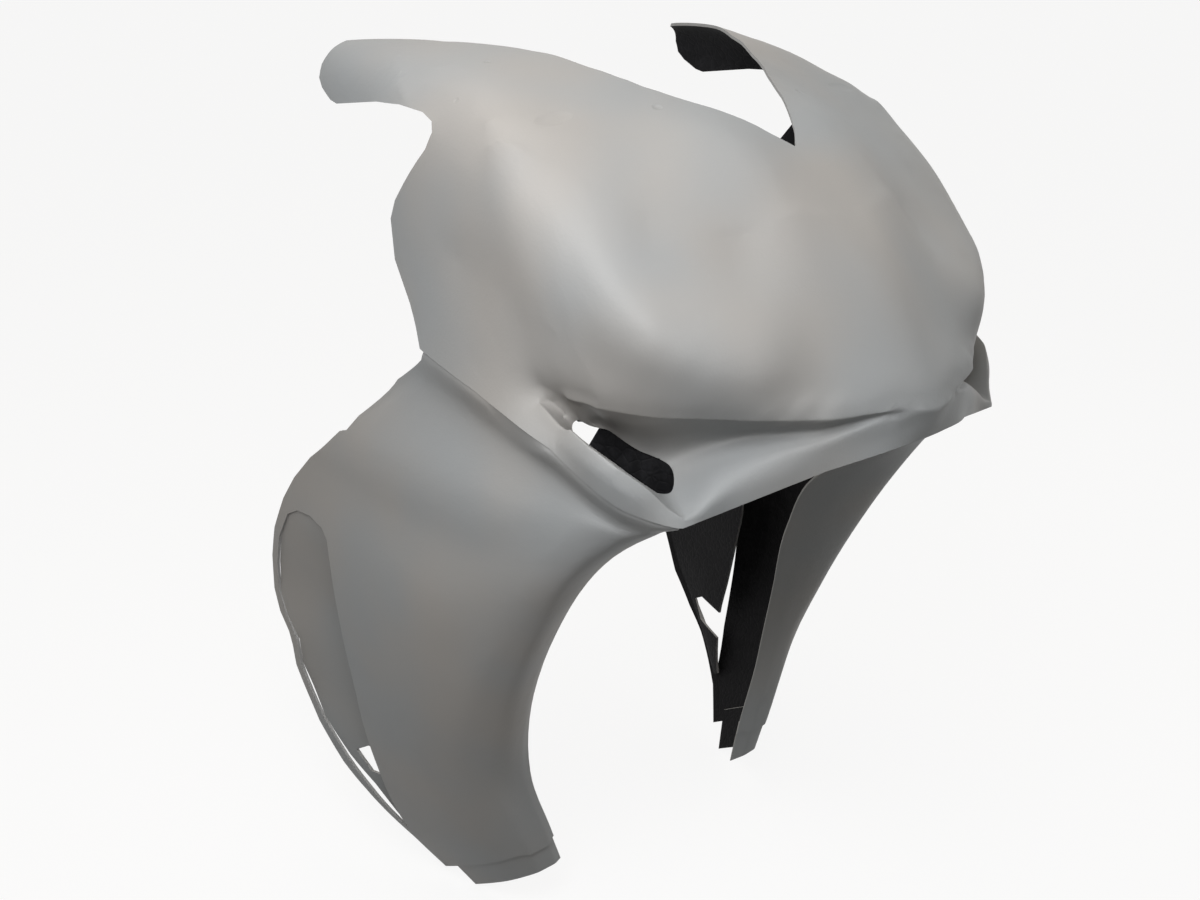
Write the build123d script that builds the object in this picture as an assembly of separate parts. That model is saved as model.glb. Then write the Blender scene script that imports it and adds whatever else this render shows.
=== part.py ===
from build123d import *
import os
from math import cos, radians, sin

os.makedirs("parts", exist_ok=True)

# Sizes in mm. The tables below are drawn for these overall sizes and stretch with them.
WIDTH = 500.0
LENGTH = 550.0
HEIGHT = 780.0
WALL = 2.5
TUCK = 0.8
EDGE_ROLL = 6.0
VENT_DEPTH = 40.0
JOGGLE_STEP = 2.0
JOGGLE_DROP = 24.0
FIT = 0.3
FINE = 8
BEARING_STEP = 4
SPARE = 8.0
AXIS_Y = 300.0
TIP = (0.0, 135.0, 178.0)

# Cowl sections: bearing from straight ahead, then (radius, height) about an upright axis, from inside the
# screen opening over the dome: cut edge, dome, upper ridge, bulge, crest, cove, brow, rim and foot.
COWL = [
    (0, (110, 216), (150, 190), (204, 151), (240, 122), (268, 87),
     (290, 53), (301, 35), (306.5, 22), (303, 7), (300, 0)),
    (8, (95, 214), (134, 199), (182, 172), (219, 142), (252, 100),
     (283, 54), (293, 38), (297, 27), (296, 20), (298, -3)),
    (16, (80, 213), (118, 205), (160, 193), (200, 162), (239, 112),
     (276, 55), (284, 39), (290, 26), (288, 10), (288, -12)),
    (25, (66, 219), (104, 211), (150, 197), (191, 164), (232, 114),
     (281, 56), (280, 40), (277, 26), (283, -3), (284.5, -25)),
    (31, (60, 225), (97, 215), (147, 198), (196, 160), (238, 114),
     (280, 60), (277, 43), (270, 27), (286, -16), (287, -31)),
    (35.5, (57, 229), (94, 218), (146, 197), (201, 156), (242, 115),
     (278, 68), (274, 48), (266, 27), (295, -32), (297, -37.5)),
    (40, (55, 232), (92, 220), (146, 197), (206, 154), (247, 118),
     (275, 77), (270, 52), (262, 27), (292.5, -11), (294.5, -33)),
    (44, (53, 234), (90, 222.5), (148, 197), (208, 160), (243, 130),
     (268, 85), (264, 56), (257, 27.5), (292, 4), (291, -25)),
    (48, (50, 236), (88, 225), (150, 198.5), (209, 166), (238, 142),
     (260, 92), (257, 60), (251, 28), (281, 14), (281, -16)),
    (53, (50, 237), (87, 227), (150, 202), (211, 172), (234, 150),
     (251, 100), (249, 66), (242, 28.5), (257, 20), (267, -3)),
    (58, (50, 239), (87, 229), (152, 206), (212, 177), (230, 156),
     (242, 107), (240, 72), (236, 36), (237, 23), (255, 5)),
    (64, (50, 240), (87, 231), (158, 208), (211, 186), (226, 160),
     (230, 116), (229, 88), (230, 64), (235, 30), (242, 12)),
    (72, (52, 244), (90, 234), (150, 218), (200, 199), (213, 168),
     (217, 125), (217, 99), (219, 76), (225, 37), (230, 19)),
    (82, (58, 248), (95, 238), (145, 229), (187, 212), (203, 180),
     (208, 136), (208.5, 108), (211, 84), (217, 42), (220, 26)),
    (92, (68, 249), (105, 240), (150, 234), (185, 220), (200, 192),
     (207, 145), (208, 115), (209, 91), (213, 47), (216, 31)),
    (102, (85, 250), (120, 243), (160, 237), (190, 226), (206, 200),
     (211, 150), (212, 119), (212.5, 95), (215, 51), (217, 35)),
    (115, (130, 252), (159, 245), (187, 239), (208, 226), (218, 205),
     (221, 150), (222, 119), (222.5, 96), (225, 54), (226, 39)),
    (131, (205, 247), (233, 241), (246, 235), (256, 222), (261, 205),
     (263, 150), (263, 120), (263, 98), (263, 57), (263, 44)),
    (140, (232, 248), (262, 242), (276, 235), (287, 222), (292, 205),
     (294, 150), (294.5, 120), (295, 98), (296, 58), (296, 47)),
]
# Lower edge of the cowl from the side (rearward, up): lip, blade tip, then the crease above the panel.
LIP = [(-60, 0), (1, 0), (22, -11), (42, -25), (59, -37)]
SHOULDER = [(59, -37), (76, -32), (96, -22.5), (146, 1), (228, 21), (297, 32)]
# Rest of the cowl from the side: rear edge, ear underside, ear end, then clear above the dome.
COWL_SIDE = [
    (302, 33), (320, 63), (343, 92), (347, 122), (339, 137), (300, 178), (295, 190), (298, 197), (310, 202),
    (337, 205), (370, 204), (431, 197), (441, 199), (456, 207), (463, 214), (463, 224), (457, 236), (450, 246),
    (447, 300), (-60, 300),
]
# Screen opening in plan (out, rearward).
OPENING = [
    (0, 135), (13, 148), (43, 189), (75, 240), (112, 312), (144, 361), (175, 454), (190, 520), (0, 520),
]
# Channel between brow and rim: bearing, then (radius, height) of its wall, its corner and its floor.
CHANNEL = [
    (16, (282, 19), (278, 14), (283, 11)),
    (25, (262, 15), (254, 6), (268, 1)),
    (31, (253, 11), (244, -3), (263, -10)),
    (35.5, (248, 8), (238, -13), (264, -25)),
    (40, (244, 6), (234, -17), (262, -27)),
    (44, (238, 9), (227, -10), (258, -20)),
    (48, (231, 14), (221, -2), (250, -13)),
    (53, (230, 21), (223, 10), (237, 6)),
]
CHANNEL_ENDS = (5, 59)
# Intake slot in the channel, in plan (out, rearward) and from the side (rearward, up).
INTAKE_PLAN = [
    (190, 172), (165, 160), (148, 142), (140, 118), (150, 108), (180, 84), (192, 90), (199, 110), (198, 140),
]
INTAKE_SIDE = [
    (178, 17), (153, 1), (139, -5), (126, -12), (112, -14), (95, -14), (80, -20), (80, -70), (190, -70),
]

# Bearings on the cowl's foot where the panel's columns start, from the leading edge rearward.
CREASE = [36.2, 38, 40, 45, 54, 64, 77, 98]
# Panel rows below the crease, from the leading edge rearward (out, rearward, up): hollow, crest, then down.
PANEL = [
    [(165, 84, -50), (175, 80, -48), (186, 84, -45), (199, 107, -37),
     (207, 150, -21), (211, 205, -11), (212, 262, -3), (214, 335, 5)],
    [(160, 102, -64), (176, 97, -60), (190, 98, -56), (203, 114, -50),
     (213, 148, -51), (226, 210, -54), (233, 310, -59), (236, 410, -64)],
    [(147, 152, -96), (170, 140, -97), (195, 137.5, -98), (210, 144, -98),
     (223, 175, -99), (234, 240, -103), (239, 340, -107), (241, 463, -105)],
    [(131, 204, -141), (162, 184, -147), (195, 171.5, -150), (212, 177, -150),
     (230, 208, -151), (243, 270, -153), (247, 390, -155), (245, 518, -150)],
    [(138, 236, -203), (168, 214, -206), (197, 202.5, -207), (214, 209.5, -207),
     (232, 236, -207), (246, 300, -208), (251, 410, -206), (247, 556, -205)],
    [(151, 261, -290), (170, 245, -290), (192, 238, -290), (210, 246, -290),
     (228, 270, -290), (241, 320, -290), (248, 410, -290), (247, 562, -290)],
    [(147, 271, -370), (162, 261, -370), (179, 260, -370), (196, 269, -370),
     (213, 292, -370), (228, 335, -370), (239, 410, -370), (244, 530, -370)],
    [(125, 272, -444), (139, 262, -444), (155, 262, -444), (172, 273, -444),
     (189, 294, -444), (205, 332, -444), (219, 385, -444), (233, 460, -444)],
    [(97, 266, -540), (109, 262, -540), (122, 266, -540), (136, 278, -540),
     (149, 297, -540), (162, 325, -540), (174, 358, -540), (186, 400, -540)],
]
# How far down the panel its rows lie, from just above the crease.
PANEL_DEPTHS = [-8, 0, 18, 48, 92, 142, 198, 282, 362, 436, 532]
# Rest of a panel from the side (rearward, up): down the rear edge, along the bottom, clear of the front.
PANEL_SIDE = [
    (302, 24), (362, -17), (381, -40), (396, -57), (414, -63), (425, -71), (485, -127), (508, -155),
    (531, -193), (543, -227), (548, -265), (541, -288), (526, -304), (522, -318), (521, -340), (493, -392),
    (460, -425), (432, -445), (386, -486), (364, -518), (268, -452), (180, -452), (20, -100), (50, -40),
]
# Vent window from the side (rearward, up): down its front edge, then up its rear edge and along the top.
VENT_FRONT = [(415, -191), (408, -229), (398, -308), (396, -371), (394, -420)]
VENT_REAR = [
    (387, -472), (396, -466), (424, -437), (452, -413), (483, -382), (509, -334), (510, -306), (526, -284),
    (536, -262), (532, -230), (521, -198), (500, -168), (480, -157), (455, -153), (432, -156), (422, -164),
]
# Free edges of the deflector under the panel (rearward, up).
VENT_UNDER = [(417, -184), (340, -205), (340, -440)]
# Deflector behind the window: height, then (rearward, share of the vent depth) from its front to its rear.
DEFLECTOR = [
    (-126, (395, 0), (425, 0), (455, 0), (482, 0)),
    (-160, (385, 0.18), (430, 0.1), (472, 0.04), (506, 0)),
    (-200, (366, 0.7), (425, 0.46), (485, 0.2), (531, 0)),
    (-242, (358, 1), (425, 0.66), (490, 0.28), (542, 0)),
    (-300, (366, 0.92), (422, 0.6), (475, 0.28), (519, 0)),
    (-356, (379, 0.68), (420, 0.5), (465, 0.25), (508, 0)),
    (-394, (387, 0.52), (415, 0.4), (450, 0.2), (486, 0)),
    (-430, (385, 0.4), (405, 0.32), (428, 0.18), (448, 0)),
    (-470, (374, 0.16), (383, 0.12), (392, 0.06), (399, 0)),
    (-494, (352, 0), (359, 0), (366, 0), (373, 0)),
]
# Gap below the deflector from the side (rearward, up).
DRAIN = [(360, -392), (428, -394), (444, -405), (428, -424), (360, -424)]


def spot(x, y, z):
    return Vector(x * WIDTH / 500, y * LENGTH / 550, z * HEIGHT / 780)


def slope(xs, ys, k):
    if k == 0 or k == len(xs) - 1:
        i = max(k - 1, 0)
        return (ys[i + 1] - ys[i]) / (xs[i + 1] - xs[i])
    before, after = xs[k] - xs[k - 1], xs[k + 1] - xs[k]
    rise, next_rise = (ys[k] - ys[k - 1]) / before, (ys[k + 1] - ys[k]) / after
    limit = 3 * min(abs(rise), abs(next_rise))
    return max(-limit, min(limit, (rise * after + next_rise * before) / (before + after)))


def blend(xs, ys, x):
    """Smooth curve through (xs, ys), read at x."""
    i = max(k for k in range(len(xs) - 1) if k == 0 or xs[k] <= x)
    h = xs[i + 1] - xs[i]
    t = (x - xs[i]) / h
    start = ys[i] * (2 * t**3 - 3 * t**2 + 1) + slope(xs, ys, i) * h * (t**3 - 2 * t**2 + t)
    return start + ys[i + 1] * (3 * t**2 - 2 * t**3) + slope(xs, ys, i + 1) * h * (t**3 - t**2)


def steps(count):
    return [k / FINE for k in range(FINE * (count - 1) + 1)]


def along(row):
    """Points of a table row with finer ones between them."""
    knots = list(range(len(row)))
    axes = list(zip(*row))
    return [tuple(blend(knots, axis, k) for axis in axes) for k in steps(len(row))]


def down(rows, depths, count):
    """Rows of points at even levels through the listed ones."""
    levels = [depths[0] + (depths[-1] - depths[0]) * k / count for k in range(count + 1)]
    columns = range(len(rows[0]))
    return [[tuple(blend(depths, [row[c][i] for row in rows], level) for i in range(3)) for c in columns]
            for level in levels]


def listed(bearing):
    """Table points of the cowl at any bearing, mirrored past the centre line."""
    table = [(-row[0], *row[1:]) for row in reversed(COWL[1:3])] + COWL
    bearings = [row[0] for row in table]
    return [Vector(*[blend(bearings, [line[k][i] for line in table], bearing) for i in range(2)])
            for k in range(1, len(table[0]))]


def straight(brow, rim):
    return [brow + (rim - brow) * share for share in (0.25, 0.5, 0.75)]


def channel_shifts():
    """How far the channel moves wall, corner and floor away from a straight run, by bearing."""
    shifts = {bearing: [Vector()] * 3 for bearing in CHANNEL_ENDS}
    for bearing, *points in CHANNEL:
        level = straight(*listed(bearing)[-3:-1])
        shifts[bearing] = [Vector(*point) - start for point, start in zip(points, level)]
    return dict(sorted(shifts.items()))


SHIFTS = channel_shifts()


def channel(bearing, brow, rim):
    points = straight(brow, rim)
    if not CHANNEL_ENDS[0] < bearing < CHANNEL_ENDS[1]:
        return points
    bearings = list(SHIFTS)
    moves = [[tuple(row[k]) for row in SHIFTS.values()] for k in range(3)]
    moves = [Vector(*[blend(bearings, [move[i] for move in row], bearing) for i in range(2)]) for row in moves]
    return [point + move for point, move in zip(points, moves)]


def rolled(before, corner, after):
    """Two points that round off a corner."""
    runs = [before - corner, after - corner]
    return [corner + run.normalized() * min(EDGE_ROLL, run.length / 3) for run in runs]


def profile(bearing):
    """Radius and height down the cowl at a bearing, from the screen opening to just past the foot."""
    *upper, brow, rim, foot = listed(bearing)
    inner = channel(bearing, brow, rim)
    past = foot + (foot - rim).normalized() * SPARE
    edges = rolled(upper[-1], brow, inner[0]), rolled(inner[2], rim, foot)
    points = upper + edges[0] + inner + edges[1] + [foot, past]
    return [(point.X, point.Y) for point in points]


def around(bearing, radius, height):
    a = radians(bearing)
    return radius * sin(a), AXIS_Y - radius * cos(a), height


def walled(points):
    """Points of a profile moved inward by the wall."""
    inner = []
    for before, point, after in zip(points[:1] + points, points, points[1:] + points[-1:]):
        run = Vector(after[0] - before[0], after[1] - before[1]).normalized() * WALL
        inner.append((point[0] + run.Y, point[1] - run.X))
    return inner


def section(bearing):
    """Closed wire round the wall of the cowl at a bearing."""
    points = profile(bearing)
    outer = [spot(*around(bearing, r, z)) for r, z in points]
    inner = [spot(*around(bearing, r, z)) for r, z in reversed(walled(points))]
    ends = Edge.make_line(outer[-1], inner[0]), Edge.make_line(inner[-1], outer[0])
    return Wire([Edge.make_spline(outer), ends[0], Edge.make_spline(inner), ends[1]])


def crease(bearing, rise):
    """Point inside the cowl's wall, at a rise above its foot."""
    lower = profile(bearing)[-3:]
    height = min(lower[1][1] + rise, lower[0][1])
    radius = blend([-z for r, z in lower], [r for r, z in lower], -height)
    return around(bearing, radius - TUCK, height)


def outboard(y, z):
    """How far out the panel's skin lies at a place seen from the side."""
    rows = [row[2:] for row in PANEL[1:]]
    outs = [blend([p[1] for p in row], [p[0] for p in row], y) for row in rows]
    drops = [-blend([p[1] for p in row], [p[2] for p in row], y) for row in rows]
    return blend(drops, outs, -z)


def skin(points, depth):
    rows = [[spot(*point) for point in row] for row in points]
    face = Face.make_surface_from_array_of_points(rows, tol=FIT, min_deg=3, max_deg=3)
    return Solid.thicken(face, depth)


def inset(points, depth):
    """The same grid of points moved inward along its own normals."""
    last, end = len(points) - 1, len(points[0]) - 1
    moved = []
    for i, row in enumerate(points):
        above, below = points[max(i - 1, 0)], points[min(i + 1, last)]
        line = []
        for j, point in enumerate(row):
            run = Vector(*row[min(j + 1, end)]) - Vector(*row[max(j - 1, 0)])
            fall = Vector(*below[j]) - Vector(*above[j])
            line.append(tuple(Vector(*point) + run.cross(fall).normalized() * depth))
        moved.append(line)
    return moved


def from_side(outline):
    wire = Polyline(*[spot(0, y, z) for y, z in outline], close=True)
    return extrude(make_face(wire), amount=WIDTH, both=True)


def from_above(outline):
    wire = Polyline(*[spot(x, y, 0) for x, y in outline], close=True)
    return extrude(make_face(wire), amount=HEIGHT, both=True)


def panel_points():
    knots = list(range(len(CREASE)))
    bearings = [blend(knots, CREASE, k) for k in steps(len(CREASE))]
    top = [[crease(bearing, rise) for bearing in bearings] for rise in (SPARE, 0)]
    return down(top + [along(row) for row in PANEL], PANEL_DEPTHS, 120)


def deflector_points():
    rows = [[(outboard(y, z) - TUCK - share * VENT_DEPTH, y, z) for y, share in row] for z, *row in DEFLECTOR]
    return down([along(row) for row in rows], [-row[0] for row in DEFLECTOR], 60)


def joggle_band():
    bottom = [(y, z + 14) for y, z in ((352, -510), (268, -452), (220, -452))]
    lower = [(y, z - JOGGLE_DROP) for y, z in ((220, -454), (262, -454), (300, -481), (338, -508))]
    return bottom + lower


cowl = Solid.make_loft([section(bearing) for bearing in range(-8, 141, BEARING_STEP)])
cowl = cowl - from_above(OPENING)
cowl = cowl & from_side(LIP + SHOULDER[1:] + COWL_SIDE)
cowl = cowl & Box(WIDTH, 4 * LENGTH, 4 * HEIGHT, align=(Align.MIN, Align.CENTER, Align.CENTER))
cowl = cowl - (from_above(INTAKE_PLAN) & from_side(INTAKE_SIDE))
points = panel_points()
panel = skin(points, -WALL)
panel = panel & from_side(SHOULDER + PANEL_SIDE)
panel = panel - from_side(VENT_FRONT + VENT_REAR)
deflector = skin(deflector_points(), -WALL) & from_side(VENT_REAR + VENT_UNDER)
deflector = deflector - from_side(DRAIN)
joggle = skin(inset(points[85:], JOGGLE_STEP), -WALL) & from_side(joggle_band())
panel = panel + deflector
panel = panel + joggle
half = cowl + panel
shell = half + half.mirror(Plane.YZ)
export_step(shell.moved(Location((0, -TIP[1], -TIP[2]))), "parts/fairing_shell.step")
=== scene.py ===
import math

import bmesh
import bpy
from mathutils import Matrix, Vector


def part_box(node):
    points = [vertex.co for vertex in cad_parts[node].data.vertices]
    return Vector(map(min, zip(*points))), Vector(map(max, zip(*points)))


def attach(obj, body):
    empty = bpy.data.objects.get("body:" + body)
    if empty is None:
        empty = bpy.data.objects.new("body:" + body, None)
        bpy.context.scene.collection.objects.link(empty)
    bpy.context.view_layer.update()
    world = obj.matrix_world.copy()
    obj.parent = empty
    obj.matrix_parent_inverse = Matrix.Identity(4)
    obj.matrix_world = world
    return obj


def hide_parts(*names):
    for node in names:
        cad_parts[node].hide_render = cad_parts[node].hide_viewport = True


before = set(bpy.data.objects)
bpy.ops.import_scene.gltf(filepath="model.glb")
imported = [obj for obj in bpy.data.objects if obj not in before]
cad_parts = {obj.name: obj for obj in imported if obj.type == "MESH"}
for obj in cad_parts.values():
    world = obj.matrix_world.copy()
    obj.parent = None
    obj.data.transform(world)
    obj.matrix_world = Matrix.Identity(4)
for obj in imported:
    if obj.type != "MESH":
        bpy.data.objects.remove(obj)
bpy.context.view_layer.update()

# Camera of the photograph, in metres in the fairing's frame.
CAMERA_AT = Vector((-0.6602, -0.5754, 0.1326))
CAMERA_LOOK = Vector((0.591, 0.708, -0.388))
CAMERA_LENS_MM = 36.0
CAMERA_NEAR = 0.01
CAMERA_FAR = 200
SENSOR_MM = 36.0

# Where the inside of the cowl lies, and the height below which only the side panels hang.
COWL_HEART = Vector((0.0, 0.165, -0.15))
PANEL_TOP = -0.2

# Closer corners are one, sharper edges are creases, and narrower patches are trimmed edges.
MERGE_DISTANCE = 0.0001
CREASE_ANGLE = math.radians(34)
EDGE_WIDTH = 0.004
OUTSIDE, EDGE, INSIDE = range(3)

# How far a corner moves in one round of evening, and where the evened skin is folded over.
EASE = 0.5
FOLD_ANGLE = math.radians(95)
UNFOLD_ROUNDS = 30

# Lines on one half where the moulding is crisp: the blade's upper edge and the brow over the mouth.
BLADE_LINE = [
    (0.1713, -0.0752, -0.210), (0.1880, -0.0591, -0.189), (0.2028, -0.0450, -0.174),
    (0.2088, -0.0230, -0.164), (0.2052, 0.0103, -0.158), (0.2010, 0.0394, -0.155),
]
BROW_LINE = [
    (0.0413, -0.1291, -0.151), (0.0799, -0.1138, -0.152), (0.1171, -0.0860, -0.152),
    (0.1391, -0.0664, -0.151), (0.1545, -0.0516, -0.151), (0.1684, -0.0357, -0.151),
    (0.1785, -0.0199, -0.1505), (0.1865, -0.0030, -0.150), (0.1933, 0.0194, -0.1495),
]
# Each line's reach and pull, and the longest edge beside it.
CRISP_LINES = [(BLADE_LINE, 0.012, 0.9), (BROW_LINE, 0.010, 0.7)]
CRISP_EDGE = 0.0025

# Where the skin is evened out: middle on one half, reach, longest edge, rounds.
MOUTH_END = ((0.200, 0.040, -0.142), 0.046, 0.004, 80)
DOME = ((0.0, 0.16, -0.03), 0.21, 0.010, 40)
# Where the trimmed edges are evened out: middle on one half, reach, rounds.
SLOT_END = ((0.178, 0.030, -0.172), 0.022, 40)

# Black wall inside the intake, from its front end rearward: upper edge, then how far it hangs.
INTAKE_WALL = [
    ((0.1540, -0.0462, -0.2036), 0.026), ((0.1428, -0.0345, -0.1975), 0.034),
    ((0.1404, -0.0289, -0.1950), 0.036), ((0.1432, -0.0205, -0.1912), 0.038),
    ((0.1515, -0.0102, -0.1866), 0.038), ((0.1557, -0.0022, -0.1828), 0.038),
    ((0.1597, 0.0096, -0.1773), 0.036), ((0.1640, 0.0185, -0.1745), 0.032),
]
INTAKE_WALL_END = (0.0100, 0.0140)
INTAKE_WALL_THICK = 0.0015
PLACE_DIGITS = 5

# Small pits where screws will go, and the dents beside the screen: middle on one half, half sizes.
PITS = [
    ((0.0746, 0.0639, 0.0286), (0.004, 0.004, 0.006)),
    ((0.1443, 0.1692, 0.0566), (0.003, 0.003, 0.006)),
    ((0.1849, 0.1508, 0.0369), (0.003, 0.003, 0.006)),
    ((0.1500, 0.0850, 0.0255), (0.017, 0.007, 0.014)),
]
PIT_DEPTH = 12.0

# Finishes, as linear colours.
PRIMER = (0.30, 0.30, 0.295, 1)
PRIMER_WARM = (0.335, 0.315, 0.295, 1)
PRIMER_COOL = (0.275, 0.295, 0.31, 1)
RAW_EDGE = (0.36, 0.36, 0.355, 1)
INSIDE_BLACK = (0.010, 0.010, 0.011, 1)
INSIDE_FIBRE = (0.022, 0.022, 0.024, 1)
STUDIO_WHITE = (1, 1, 1, 1)

# Grain of the finishes: scales per metre, the span of the noise that shows, and its share.
CLOUD_SCALE, CLOUD_SPAN, CLOUD_CALM = 5.0, (0.35, 0.7), 0.35
DUST_SCALE, DUST_SPAN, DUST_SHARE = 38.0, (0.5, 0.8), 0.10
SPECKLE_SCALE, SPECKLE_SHARE = 900.0, 0.4
PEEL_SCALE = 420.0
SCUFF_SCALE, SCUFF_SPAN = 260.0, (0.3, 0.75)
STRAND_SCALE, STRAND_SPAN, STRAND_SHARE = 120.0, (0.0, 0.12), 0.5
MOTTLE_SCALE, MOTTLE_SPAN = 60.0, (0.4, 0.75)

# Bump of the finishes: height in metres, then strength.
PEEL_BUMP = (0.00035, 0.25)
SCUFF_BUMP = (0.0004, 0.4)
FIBRE_BUMP = (0.0012, 0.5)

# Roughness of each finish, what its grain adds to it, and how much it mirrors.
PRIMER_ROUGH, DUST_ROUGH, SPECKLE_ROUGH = 0.46, 0.08, 0.06
EDGE_ROUGH, SCUFF_ROUGH = 0.5, 0.15
INSIDE_ROUGH, MOTTLE_ROUGH = 0.6, 0.2
PRIMER_MIRROR = 0.22
INSIDE_MIRROR = 0.08

# Studio: floor, open white surroundings and large soft lamps (name, place, aim, width, watts, colour).
FLOOR_WHITE = (0.9, 0.9, 0.9, 1)
FLOOR_BOUNCE = (0.16, 0.16, 0.16, 1)
FLOOR_GLOW = 0.88
FLOOR_REACH = 60.0
FLOOR_GAP = 0.001
WORLD_LOW = 0.03
WORLD_HIGH = 0.42
WORLD_RISE = (-0.1, 0.4)
WORLD_WARM = (1.0, 0.955, 0.89, 1)
CENTRE = (0.0, 0.12, -0.15)
LAMPS = [
    ("flank", (-0.58, -0.24, 0.38), (-0.15, 0.08, -0.02), 0.5, 6.1, (0.985, 0.99, 1.0)),
    ("top", (-0.2, 0.6, 1.7), CENTRE, 1.2, 8, (1.0, 0.92, 0.83)),
    ("right", (1.48, -0.14, 0.45), CENTRE, 1.2, 2.5, (1.0, 0.97, 0.93)),
    ("front", (-1.0, -2.0, 0.3), CENTRE, 1.6, 2.5, (0.95, 0.98, 1.0)),
]

# Sockets of a node that mixes two colours.
MIX_SHARE, MIX_FIRST, MIX_SECOND, MIX_RESULT = 0, 6, 7, 2


class Wire:
    """A shader socket that can be added, multiplied and compared."""

    def __init__(self, nodes, socket):
        self.nodes = nodes
        self.socket = socket

    def maths(self, operation, *others):
        return self.nodes.node("ShaderNodeMath", {"operation": operation}, dict(enumerate((self, *others))))

    def __add__(self, other):
        return self.maths("ADD", other)

    __radd__ = __add__

    def __mul__(self, other):
        return self.maths("MULTIPLY", other)

    def __sub__(self, other):
        return self.maths("SUBTRACT", other)

    def __rsub__(self, other):
        return (self * -1) + other

    def between(self, low, high):
        """0 at low, 1 at high, eased and clamped."""
        return self.nodes.node("ShaderNodeMapRange", {"interpolation_type": "SMOOTHSTEP"},
                               {"Value": self, "From Min": low, "From Max": high})


class Nodes:
    """A node tree and the one way that nodes are added to it."""

    def __init__(self, owner):
        owner.use_nodes = True
        self.tree = owner.node_tree
        self.tree.nodes.clear()

    def node(self, kind, settings=None, inputs=None, output=0):
        made = self.tree.nodes.new(kind)
        for name, value in (settings or {}).items():
            setattr(made, name, value)
        for name, value in (inputs or {}).items():
            if isinstance(value, Wire):
                self.tree.links.new(value.socket, made.inputs[name])
            else:
                made.inputs[name].default_value = value
        return None if output is None else Wire(self, made.outputs[output])

    def mix(self, share, first, second):
        inputs = {MIX_SHARE: share, MIX_FIRST: first, MIX_SECOND: second}
        return self.node("ShaderNodeMix", {"data_type": "RGBA"}, inputs, output=MIX_RESULT)

    def studio_rays(self):
        """1 for rays that show the studio itself, 0 for the light that it throws."""
        kinds = ("Is Camera Ray", "Is Glossy Ray", "Is Transmission Ray")
        camera, glossy, through = [self.node("ShaderNodeLightPath", output=kind) for kind in kinds]
        return camera.maths("MAXIMUM", glossy).maths("MAXIMUM", through)


class Finish(Nodes):
    """A material's nodes, on the fairing's own coordinates."""

    def __init__(self, name):
        self.material = bpy.data.materials.new(name)
        super().__init__(self.material)
        self.place = self.node("ShaderNodeTexCoord", output="Object")

    def noise(self, scale, detail=2.0, roughness=0.55):
        return self.node("ShaderNodeTexNoise", None,
                         {"Vector": self.place, "Scale": scale, "Detail": detail, "Roughness": roughness})

    def pit(self, middle, half):
        """0 in the middle of a pit on either half of the fairing, 1 outside it."""
        axes = [self.node("ShaderNodeSeparateXYZ", None, {0: self.place}, output=axis) for axis in "XYZ"]
        axes[0] = axes[0].maths("ABSOLUTE")
        far = [(axis - at) * (1 / reach) for axis, at, reach in zip(axes, middle, half)]
        return (far[0] * far[0] + far[1] * far[1] + far[2] * far[2]).between(0.0, 1.0)

    def bump(self, height, distance, strength):
        return self.node("ShaderNodeBump", None,
                         {"Height": height, "Distance": distance, "Strength": strength})

    def surface(self, **inputs):
        shader = self.node("ShaderNodeBsdfPrincipled", None,
                           {name.replace("_", " "): value for name, value in inputs.items()})
        self.node("ShaderNodeOutputMaterial", None, {"Surface": shader}, output=None)
        return self.material


def primer_finish():
    """Satin grey primer: broad warm and cool clouds, a fine speckle and a faint orange peel."""
    finish = Finish("grey_primer")
    clouds = finish.noise(CLOUD_SCALE).between(*CLOUD_SPAN)
    speckle = finish.noise(SPECKLE_SCALE)
    dust = finish.noise(DUST_SCALE, detail=5.0, roughness=0.7).between(*DUST_SPAN)
    grey = finish.mix(clouds, PRIMER_COOL, PRIMER_WARM)
    grey = finish.mix(CLOUD_CALM, grey, PRIMER)
    grey = finish.mix(dust * DUST_SHARE, grey, RAW_EDGE)
    peel = finish.noise(PEEL_SCALE) + speckle * SPECKLE_SHARE
    for middle, half in PITS:
        peel = peel + finish.pit(middle, half) * PIT_DEPTH
    return finish.surface(
        Base_Color=grey,
        Roughness=PRIMER_ROUGH + dust * DUST_ROUGH + speckle * SPECKLE_ROUGH,
        Specular_IOR_Level=PRIMER_MIRROR,
        Normal=finish.bump(peel, *PEEL_BUMP),
    )


def edge_finish():
    """Trimmed edge of the moulding, sanded a little lighter than the faces."""
    finish = Finish("sanded_edge")
    scuff = finish.noise(SCUFF_SCALE, detail=4.0, roughness=0.7)
    return finish.surface(
        Base_Color=finish.mix(scuff.between(*SCUFF_SPAN), PRIMER, RAW_EDGE),
        Roughness=EDGE_ROUGH + scuff * SCUFF_ROUGH,
        Normal=finish.bump(scuff, *SCUFF_BUMP),
    )


def inside_finish():
    """Dull black inside, with the print of chopped fibre under the paint."""
    finish = Finish("black_inside")
    strands = finish.node("ShaderNodeTexVoronoi", {"feature": "DISTANCE_TO_EDGE"},
                          {"Vector": finish.place, "Scale": STRAND_SCALE})
    mottle = finish.noise(MOTTLE_SCALE, detail=5.0, roughness=0.65)
    fibre = strands.between(*STRAND_SPAN) * STRAND_SHARE + mottle * (1 - STRAND_SHARE)
    return finish.surface(
        Base_Color=finish.mix(mottle.between(*MOTTLE_SPAN), INSIDE_BLACK, INSIDE_FIBRE),
        Roughness=INSIDE_ROUGH + mottle * MOTTLE_ROUGH,
        Specular_IOR_Level=INSIDE_MIRROR,
        Normal=finish.bump(fibre, *FIBRE_BUMP),
    )


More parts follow.
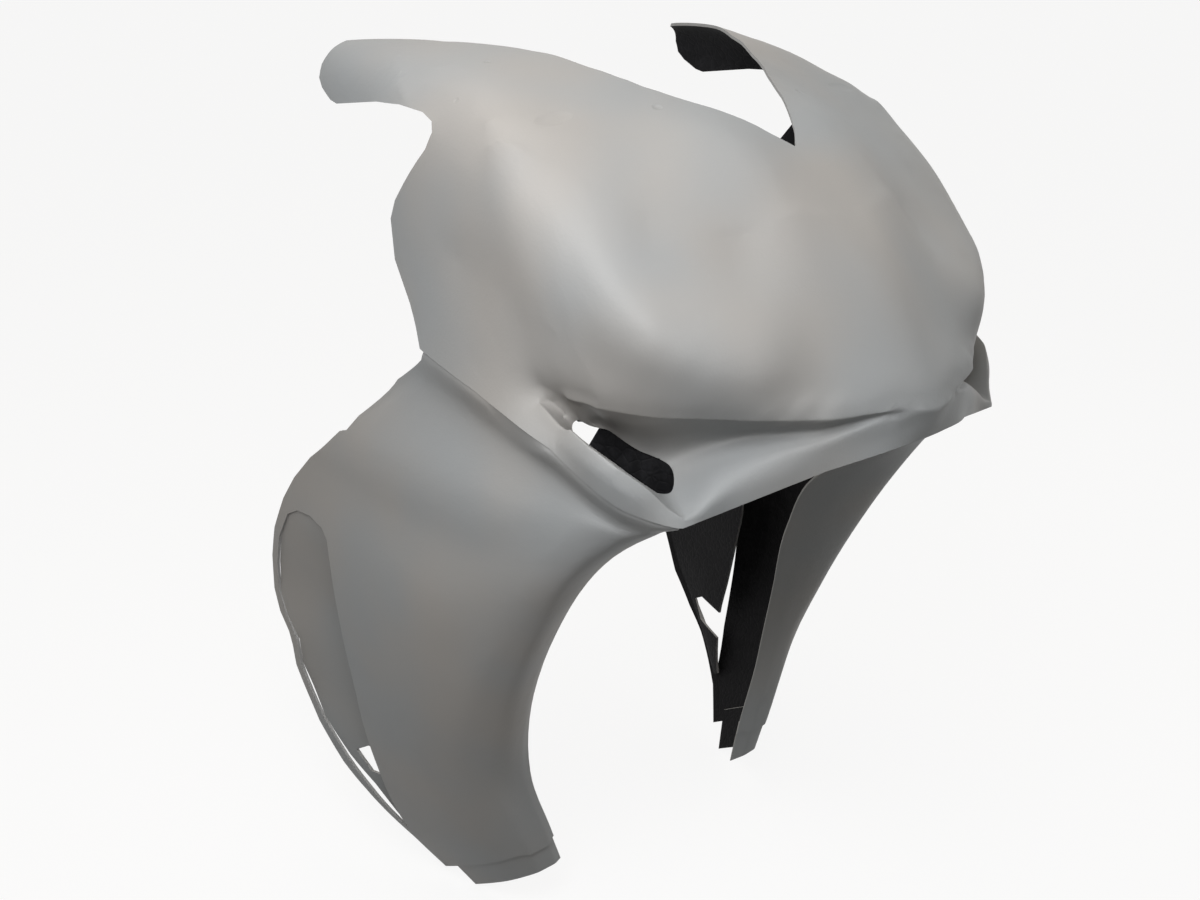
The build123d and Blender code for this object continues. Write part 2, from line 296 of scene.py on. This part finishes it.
def smooth_patches(bm):
    """Groups of faces that meet without a sharp edge."""
    left = set(bm.faces)
    while left:
        start = left.pop()
        patch, queue = [], [start]
        while queue:
            face = queue.pop()
            patch.append(face)
            for edge in face.edges:
                if not edge.smooth:
                    continue
                for other in edge.link_faces:
                    if other in left:
                        left.remove(other)
                        queue.append(other)
        yield patch


def outward(point):
    """Way from the inside of the fairing to a place on its wall."""
    if point.z < PANEL_TOP:
        return Vector((math.copysign(1, point.x), 0, 0))
    return (point - COWL_HEART).normalized()


def finish_of(patch):
    """Which side of the wall a patch is: narrow ones are trimmed edges, the others face out or in."""
    area = sum(face.calc_area() for face in patch)
    border = sum(edge.calc_length() for face in patch for edge in face.edges if not edge.smooth)
    if 2 * area < EDGE_WIDTH * border:
        return EDGE
    facing = sum(face.calc_area() * face.normal.dot(outward(face.calc_center_median())) for face in patch)
    return OUTSIDE if facing > 0 else INSIDE


def mirrored(point):
    return Vector((abs(point.x), point.y, point.z))


def free(vert):
    return all(edge.smooth for edge in vert.link_edges)


def refine(bm, edges, longest):
    """Halve edges until none of these is longer than the limit."""
    edges = [edge for edge in edges if edge.calc_length() > longest]
    while edges:
        made = bmesh.ops.subdivide_edges(bm, edges=edges, cuts=1)["geom"]
        bmesh.ops.triangulate(bm, faces=[face for face in bm.faces if len(face.verts) > 3])
        edges = [edge for edge in made if isinstance(edge, bmesh.types.BMEdge) and edge.is_valid]
        edges = [edge for edge in edges if edge.calc_length() > longest]


def ease(bm, verts):
    """Move these corners towards the middle of their neighbours."""
    bmesh.ops.smooth_vert(bm, verts=verts, factor=EASE, use_axis_x=True, use_axis_y=True, use_axis_z=True)


def even_triangles(bm, verts):
    """Turn edges between these corners where that gives fuller triangles."""
    verts = set(verts)
    edges = [edge for edge in bm.edges if edge.smooth and verts.issuperset(edge.verts)]
    faces = {face for edge in edges for face in edge.link_faces}
    bmesh.ops.beautify_fill(bm, faces=list(faces), edges=edges, use_restrict_tag=False, method="ANGLE")


def unfold(bm):
    """Lay flat the few triangles of the skin that are folded over."""
    for _ in range(UNFOLD_ROUNDS):
        bm.normal_update()
        folds = [edge for edge in bm.edges if edge.smooth and edge.calc_face_angle(0.0) > FOLD_ANGLE]
        verts = {vert for edge in folds for face in edge.link_faces for vert in face.verts if free(vert)}
        if not verts:
            return
        ease(bm, list(verts))


def even_rims(bm, middle, reach, rounds):
    """Take the kinks out of trimmed edges round a place on both halves, each along its own line."""
    middle = Vector(middle)
    near = [vert for vert in bm.verts if (mirrored(vert.co) - middle).length < reach]
    ends = {vert: [edge.other_vert(vert).co for edge in vert.link_edges if not edge.smooth] for vert in near}
    ends = {vert: pair for vert, pair in ends.items() if len(pair) == 2}
    for _ in range(rounds):
        places = [vert.co.lerp((pair[0] + pair[1]) / 2, EASE) for vert, pair in ends.items()]
        for vert, place in zip(ends, places):
            vert.co = place


def even_out(bm, middle, reach, longest, rounds):
    """Take small waves out of the skin round a place on both halves."""
    middle = Vector(middle)
    near = {vert for vert in bm.verts if (mirrored(vert.co) - middle).length < reach}
    refine(bm, [edge for edge in bm.edges if near.issuperset(edge.verts)], longest)
    near = [vert for vert in bm.verts if (mirrored(vert.co) - middle).length < reach and free(vert)]
    even_triangles(bm, near)
    for _ in range(rounds):
        ease(bm, near)


def nearest_on(line, point):
    """Nearest place on a line of points."""
    places = []
    for start, end in zip(line, line[1:]):
        start, run = Vector(start), Vector(end) - Vector(start)
        share = max(0.0, min(1.0, (point - start).dot(run) / run.length_squared))
        places.append(start + run * share)
    return min(places, key=lambda place: (place - point).length_squared)


def crisp(bm, line, reach, pull):
    """Draw the outer skin towards a line, so that its soft ridge becomes a crisp one."""
    low = Vector(min(axis) - reach for axis in zip(*line))
    high = Vector(max(axis) + reach for axis in zip(*line))

    def close(vert):
        at = mirrored(vert.co)
        if any(not low[i] < at[i] < high[i] for i in range(3)):
            return False
        return (nearest_on(line, at) - at).length < reach

    near = {vert for vert in bm.verts if close(vert)}
    refine(bm, [edge for edge in bm.edges if near.issuperset(edge.verts)], CRISP_EDGE)
    even_triangles(bm, [vert for vert in bm.verts if close(vert)])
    for vert in bm.verts:
        if not close(vert) or any(face.material_index != OUTSIDE for face in vert.link_faces):
            continue
        at = mirrored(vert.co)
        move = nearest_on(line, at) - at
        move *= pull * (1 - move.length_squared / reach**2) ** 2
        vert.co += Vector((math.copysign(move.x, move.x * vert.co.x), move.y, move.z))


def intake_wall(bm):
    """Dull black wall that hangs inside each intake."""
    for side in (-1, 1):
        top = [bm.verts.new((side * x, y, z)) for (x, y, z), _ in INTAKE_WALL]
        edges = [bm.edges.new(pair) for pair in zip(top, top[1:])]
        made = bmesh.ops.extrude_edge_only(bm, edges=edges)["geom"]
        lower = [item for item in made if isinstance(item, bmesh.types.BMVert)]
        drops = {vert.co.to_tuple(PLACE_DIGITS): drop for vert, (_, drop) in zip(top, INTAKE_WALL)}
        last = top[-1].co.to_tuple(PLACE_DIGITS)
        for vert in lower:
            place = vert.co.to_tuple(PLACE_DIGITS)
            vert.co.z -= drops[place]
            if place == last:
                vert.co += Vector((side * INTAKE_WALL_END[0], INTAKE_WALL_END[1], 0))
        faces = [item for item in made if isinstance(item, bmesh.types.BMFace)]
        bmesh.ops.recalc_face_normals(bm, faces=faces)
        walled = bmesh.ops.solidify(bm, geom=faces, thickness=INTAKE_WALL_THICK)["geom"]
        for face in faces + [item for item in walled if isinstance(item, bmesh.types.BMFace)]:
            face.material_index = INSIDE
            face.smooth = False


def fairing_skin():
    """The moulded shell with merged corners, soft shading and a finish for each side of its wall."""
    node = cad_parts["fairing_shell"]
    bm = bmesh.new()
    bm.from_mesh(node.data)
    bmesh.ops.remove_doubles(bm, verts=bm.verts, dist=MERGE_DISTANCE)
    for face in bm.faces:
        face.smooth = True
    for edge in bm.edges:
        edge.smooth = edge.is_manifold and edge.calc_face_angle(math.pi) < CREASE_ANGLE
    for patch in smooth_patches(bm):
        index = finish_of(patch)
        for face in patch:
            face.material_index = index
    even_out(bm, *DOME)
    even_rims(bm, *SLOT_END)
    even_out(bm, *MOUTH_END)
    unfold(bm)
    for line in CRISP_LINES:
        crisp(bm, *line)
    unfold(bm)
    intake_wall(bm)
    mesh = bpy.data.meshes.new("fairing_skin")
    bm.to_mesh(mesh)
    bm.free()
    for material in (primer_finish(), edge_finish(), inside_finish()):
        mesh.materials.append(material)
    piece = bpy.data.objects.new("fairing_skin", mesh)
    bpy.context.scene.collection.objects.link(piece)
    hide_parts("fairing_shell")
    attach(piece, "root")


def studio_floor(height):
    """Wide white floor that keeps the shadow under the fairing."""
    finish = Finish("studio_floor")
    seen = finish.studio_rays()
    tint = finish.mix(seen, FLOOR_BOUNCE, FLOOR_WHITE)
    plain = finish.node("ShaderNodeBsdfDiffuse", None, {"Color": tint})
    lit = finish.node("ShaderNodeEmission", None, {"Color": STUDIO_WHITE, "Strength": 1.0})
    shader = finish.node("ShaderNodeMixShader", None, {0: seen * FLOOR_GLOW, 1: plain, 2: lit})
    finish.node("ShaderNodeOutputMaterial", None, {"Surface": shader}, output=None)
    bm = bmesh.new()
    bmesh.ops.create_grid(bm, x_segments=1, y_segments=1, size=FLOOR_REACH,
                          matrix=Matrix.Translation((0, 0, height)))
    mesh = bpy.data.meshes.new("studio_floor")
    bm.to_mesh(mesh)
    bm.free()
    mesh.materials.append(finish.material)
    floor = bpy.data.objects.new("studio_floor", mesh)
    bpy.context.scene.collection.objects.link(floor)


def studio_world():
    """White to look at, and a soft light that comes mostly from above."""
    world = bpy.data.worlds.new("studio")
    bpy.context.scene.world = world
    nodes = Nodes(world)
    way = nodes.node("ShaderNodeTexCoord", output="Generated")
    height = nodes.node("ShaderNodeSeparateXYZ", None, {0: way}, output="Z")
    light = height.between(*WORLD_RISE) * (WORLD_HIGH - WORLD_LOW) + WORLD_LOW
    seen = nodes.studio_rays()
    strength = light * (1 - seen) + seen
    colour = nodes.mix(seen, WORLD_WARM, STUDIO_WHITE)
    backdrop = nodes.node("ShaderNodeBackground", None, {"Color": colour, "Strength": strength})
    nodes.node("ShaderNodeOutputWorld", None, {"Surface": backdrop}, output=None)


def soft_lamp(name, place, aim, width, power, colour):
    """Round lamp that lights the fairing and isn't seen itself."""
    lamp = bpy.data.lights.new(name, "AREA")
    lamp.shape = "DISK"
    lamp.size = width
    lamp.energy = power
    lamp.color = colour
    holder = bpy.data.objects.new(name, lamp)
    holder.visible_camera = False
    holder.location = place
    holder.rotation_euler = (Vector(aim) - Vector(place)).to_track_quat("-Z", "Y").to_euler()
    bpy.context.scene.collection.objects.link(holder)


def photo_camera():
    """Camera in the place that the photograph was taken from."""
    camera = bpy.data.cameras.new("photo_camera")
    camera.sensor_fit = "HORIZONTAL"
    camera.sensor_width = SENSOR_MM
    camera.lens = CAMERA_LENS_MM
    camera.clip_start = CAMERA_NEAR
    camera.clip_end = CAMERA_FAR
    holder = bpy.data.objects.new("photo_camera", camera)
    holder.location = CAMERA_AT
    holder.rotation_euler = CAMERA_LOOK.to_track_quat("-Z", "Y").to_euler()
    bpy.context.scene.collection.objects.link(holder)
    bpy.context.scene.camera = holder


fairing_skin()
low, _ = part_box("fairing_shell")
studio_floor(low.z - FLOOR_GAP)
studio_world()
for lamp in LAMPS:
    soft_lamp(*lamp)
photo_camera()
bpy.context.scene.view_settings.view_transform = "Standard"
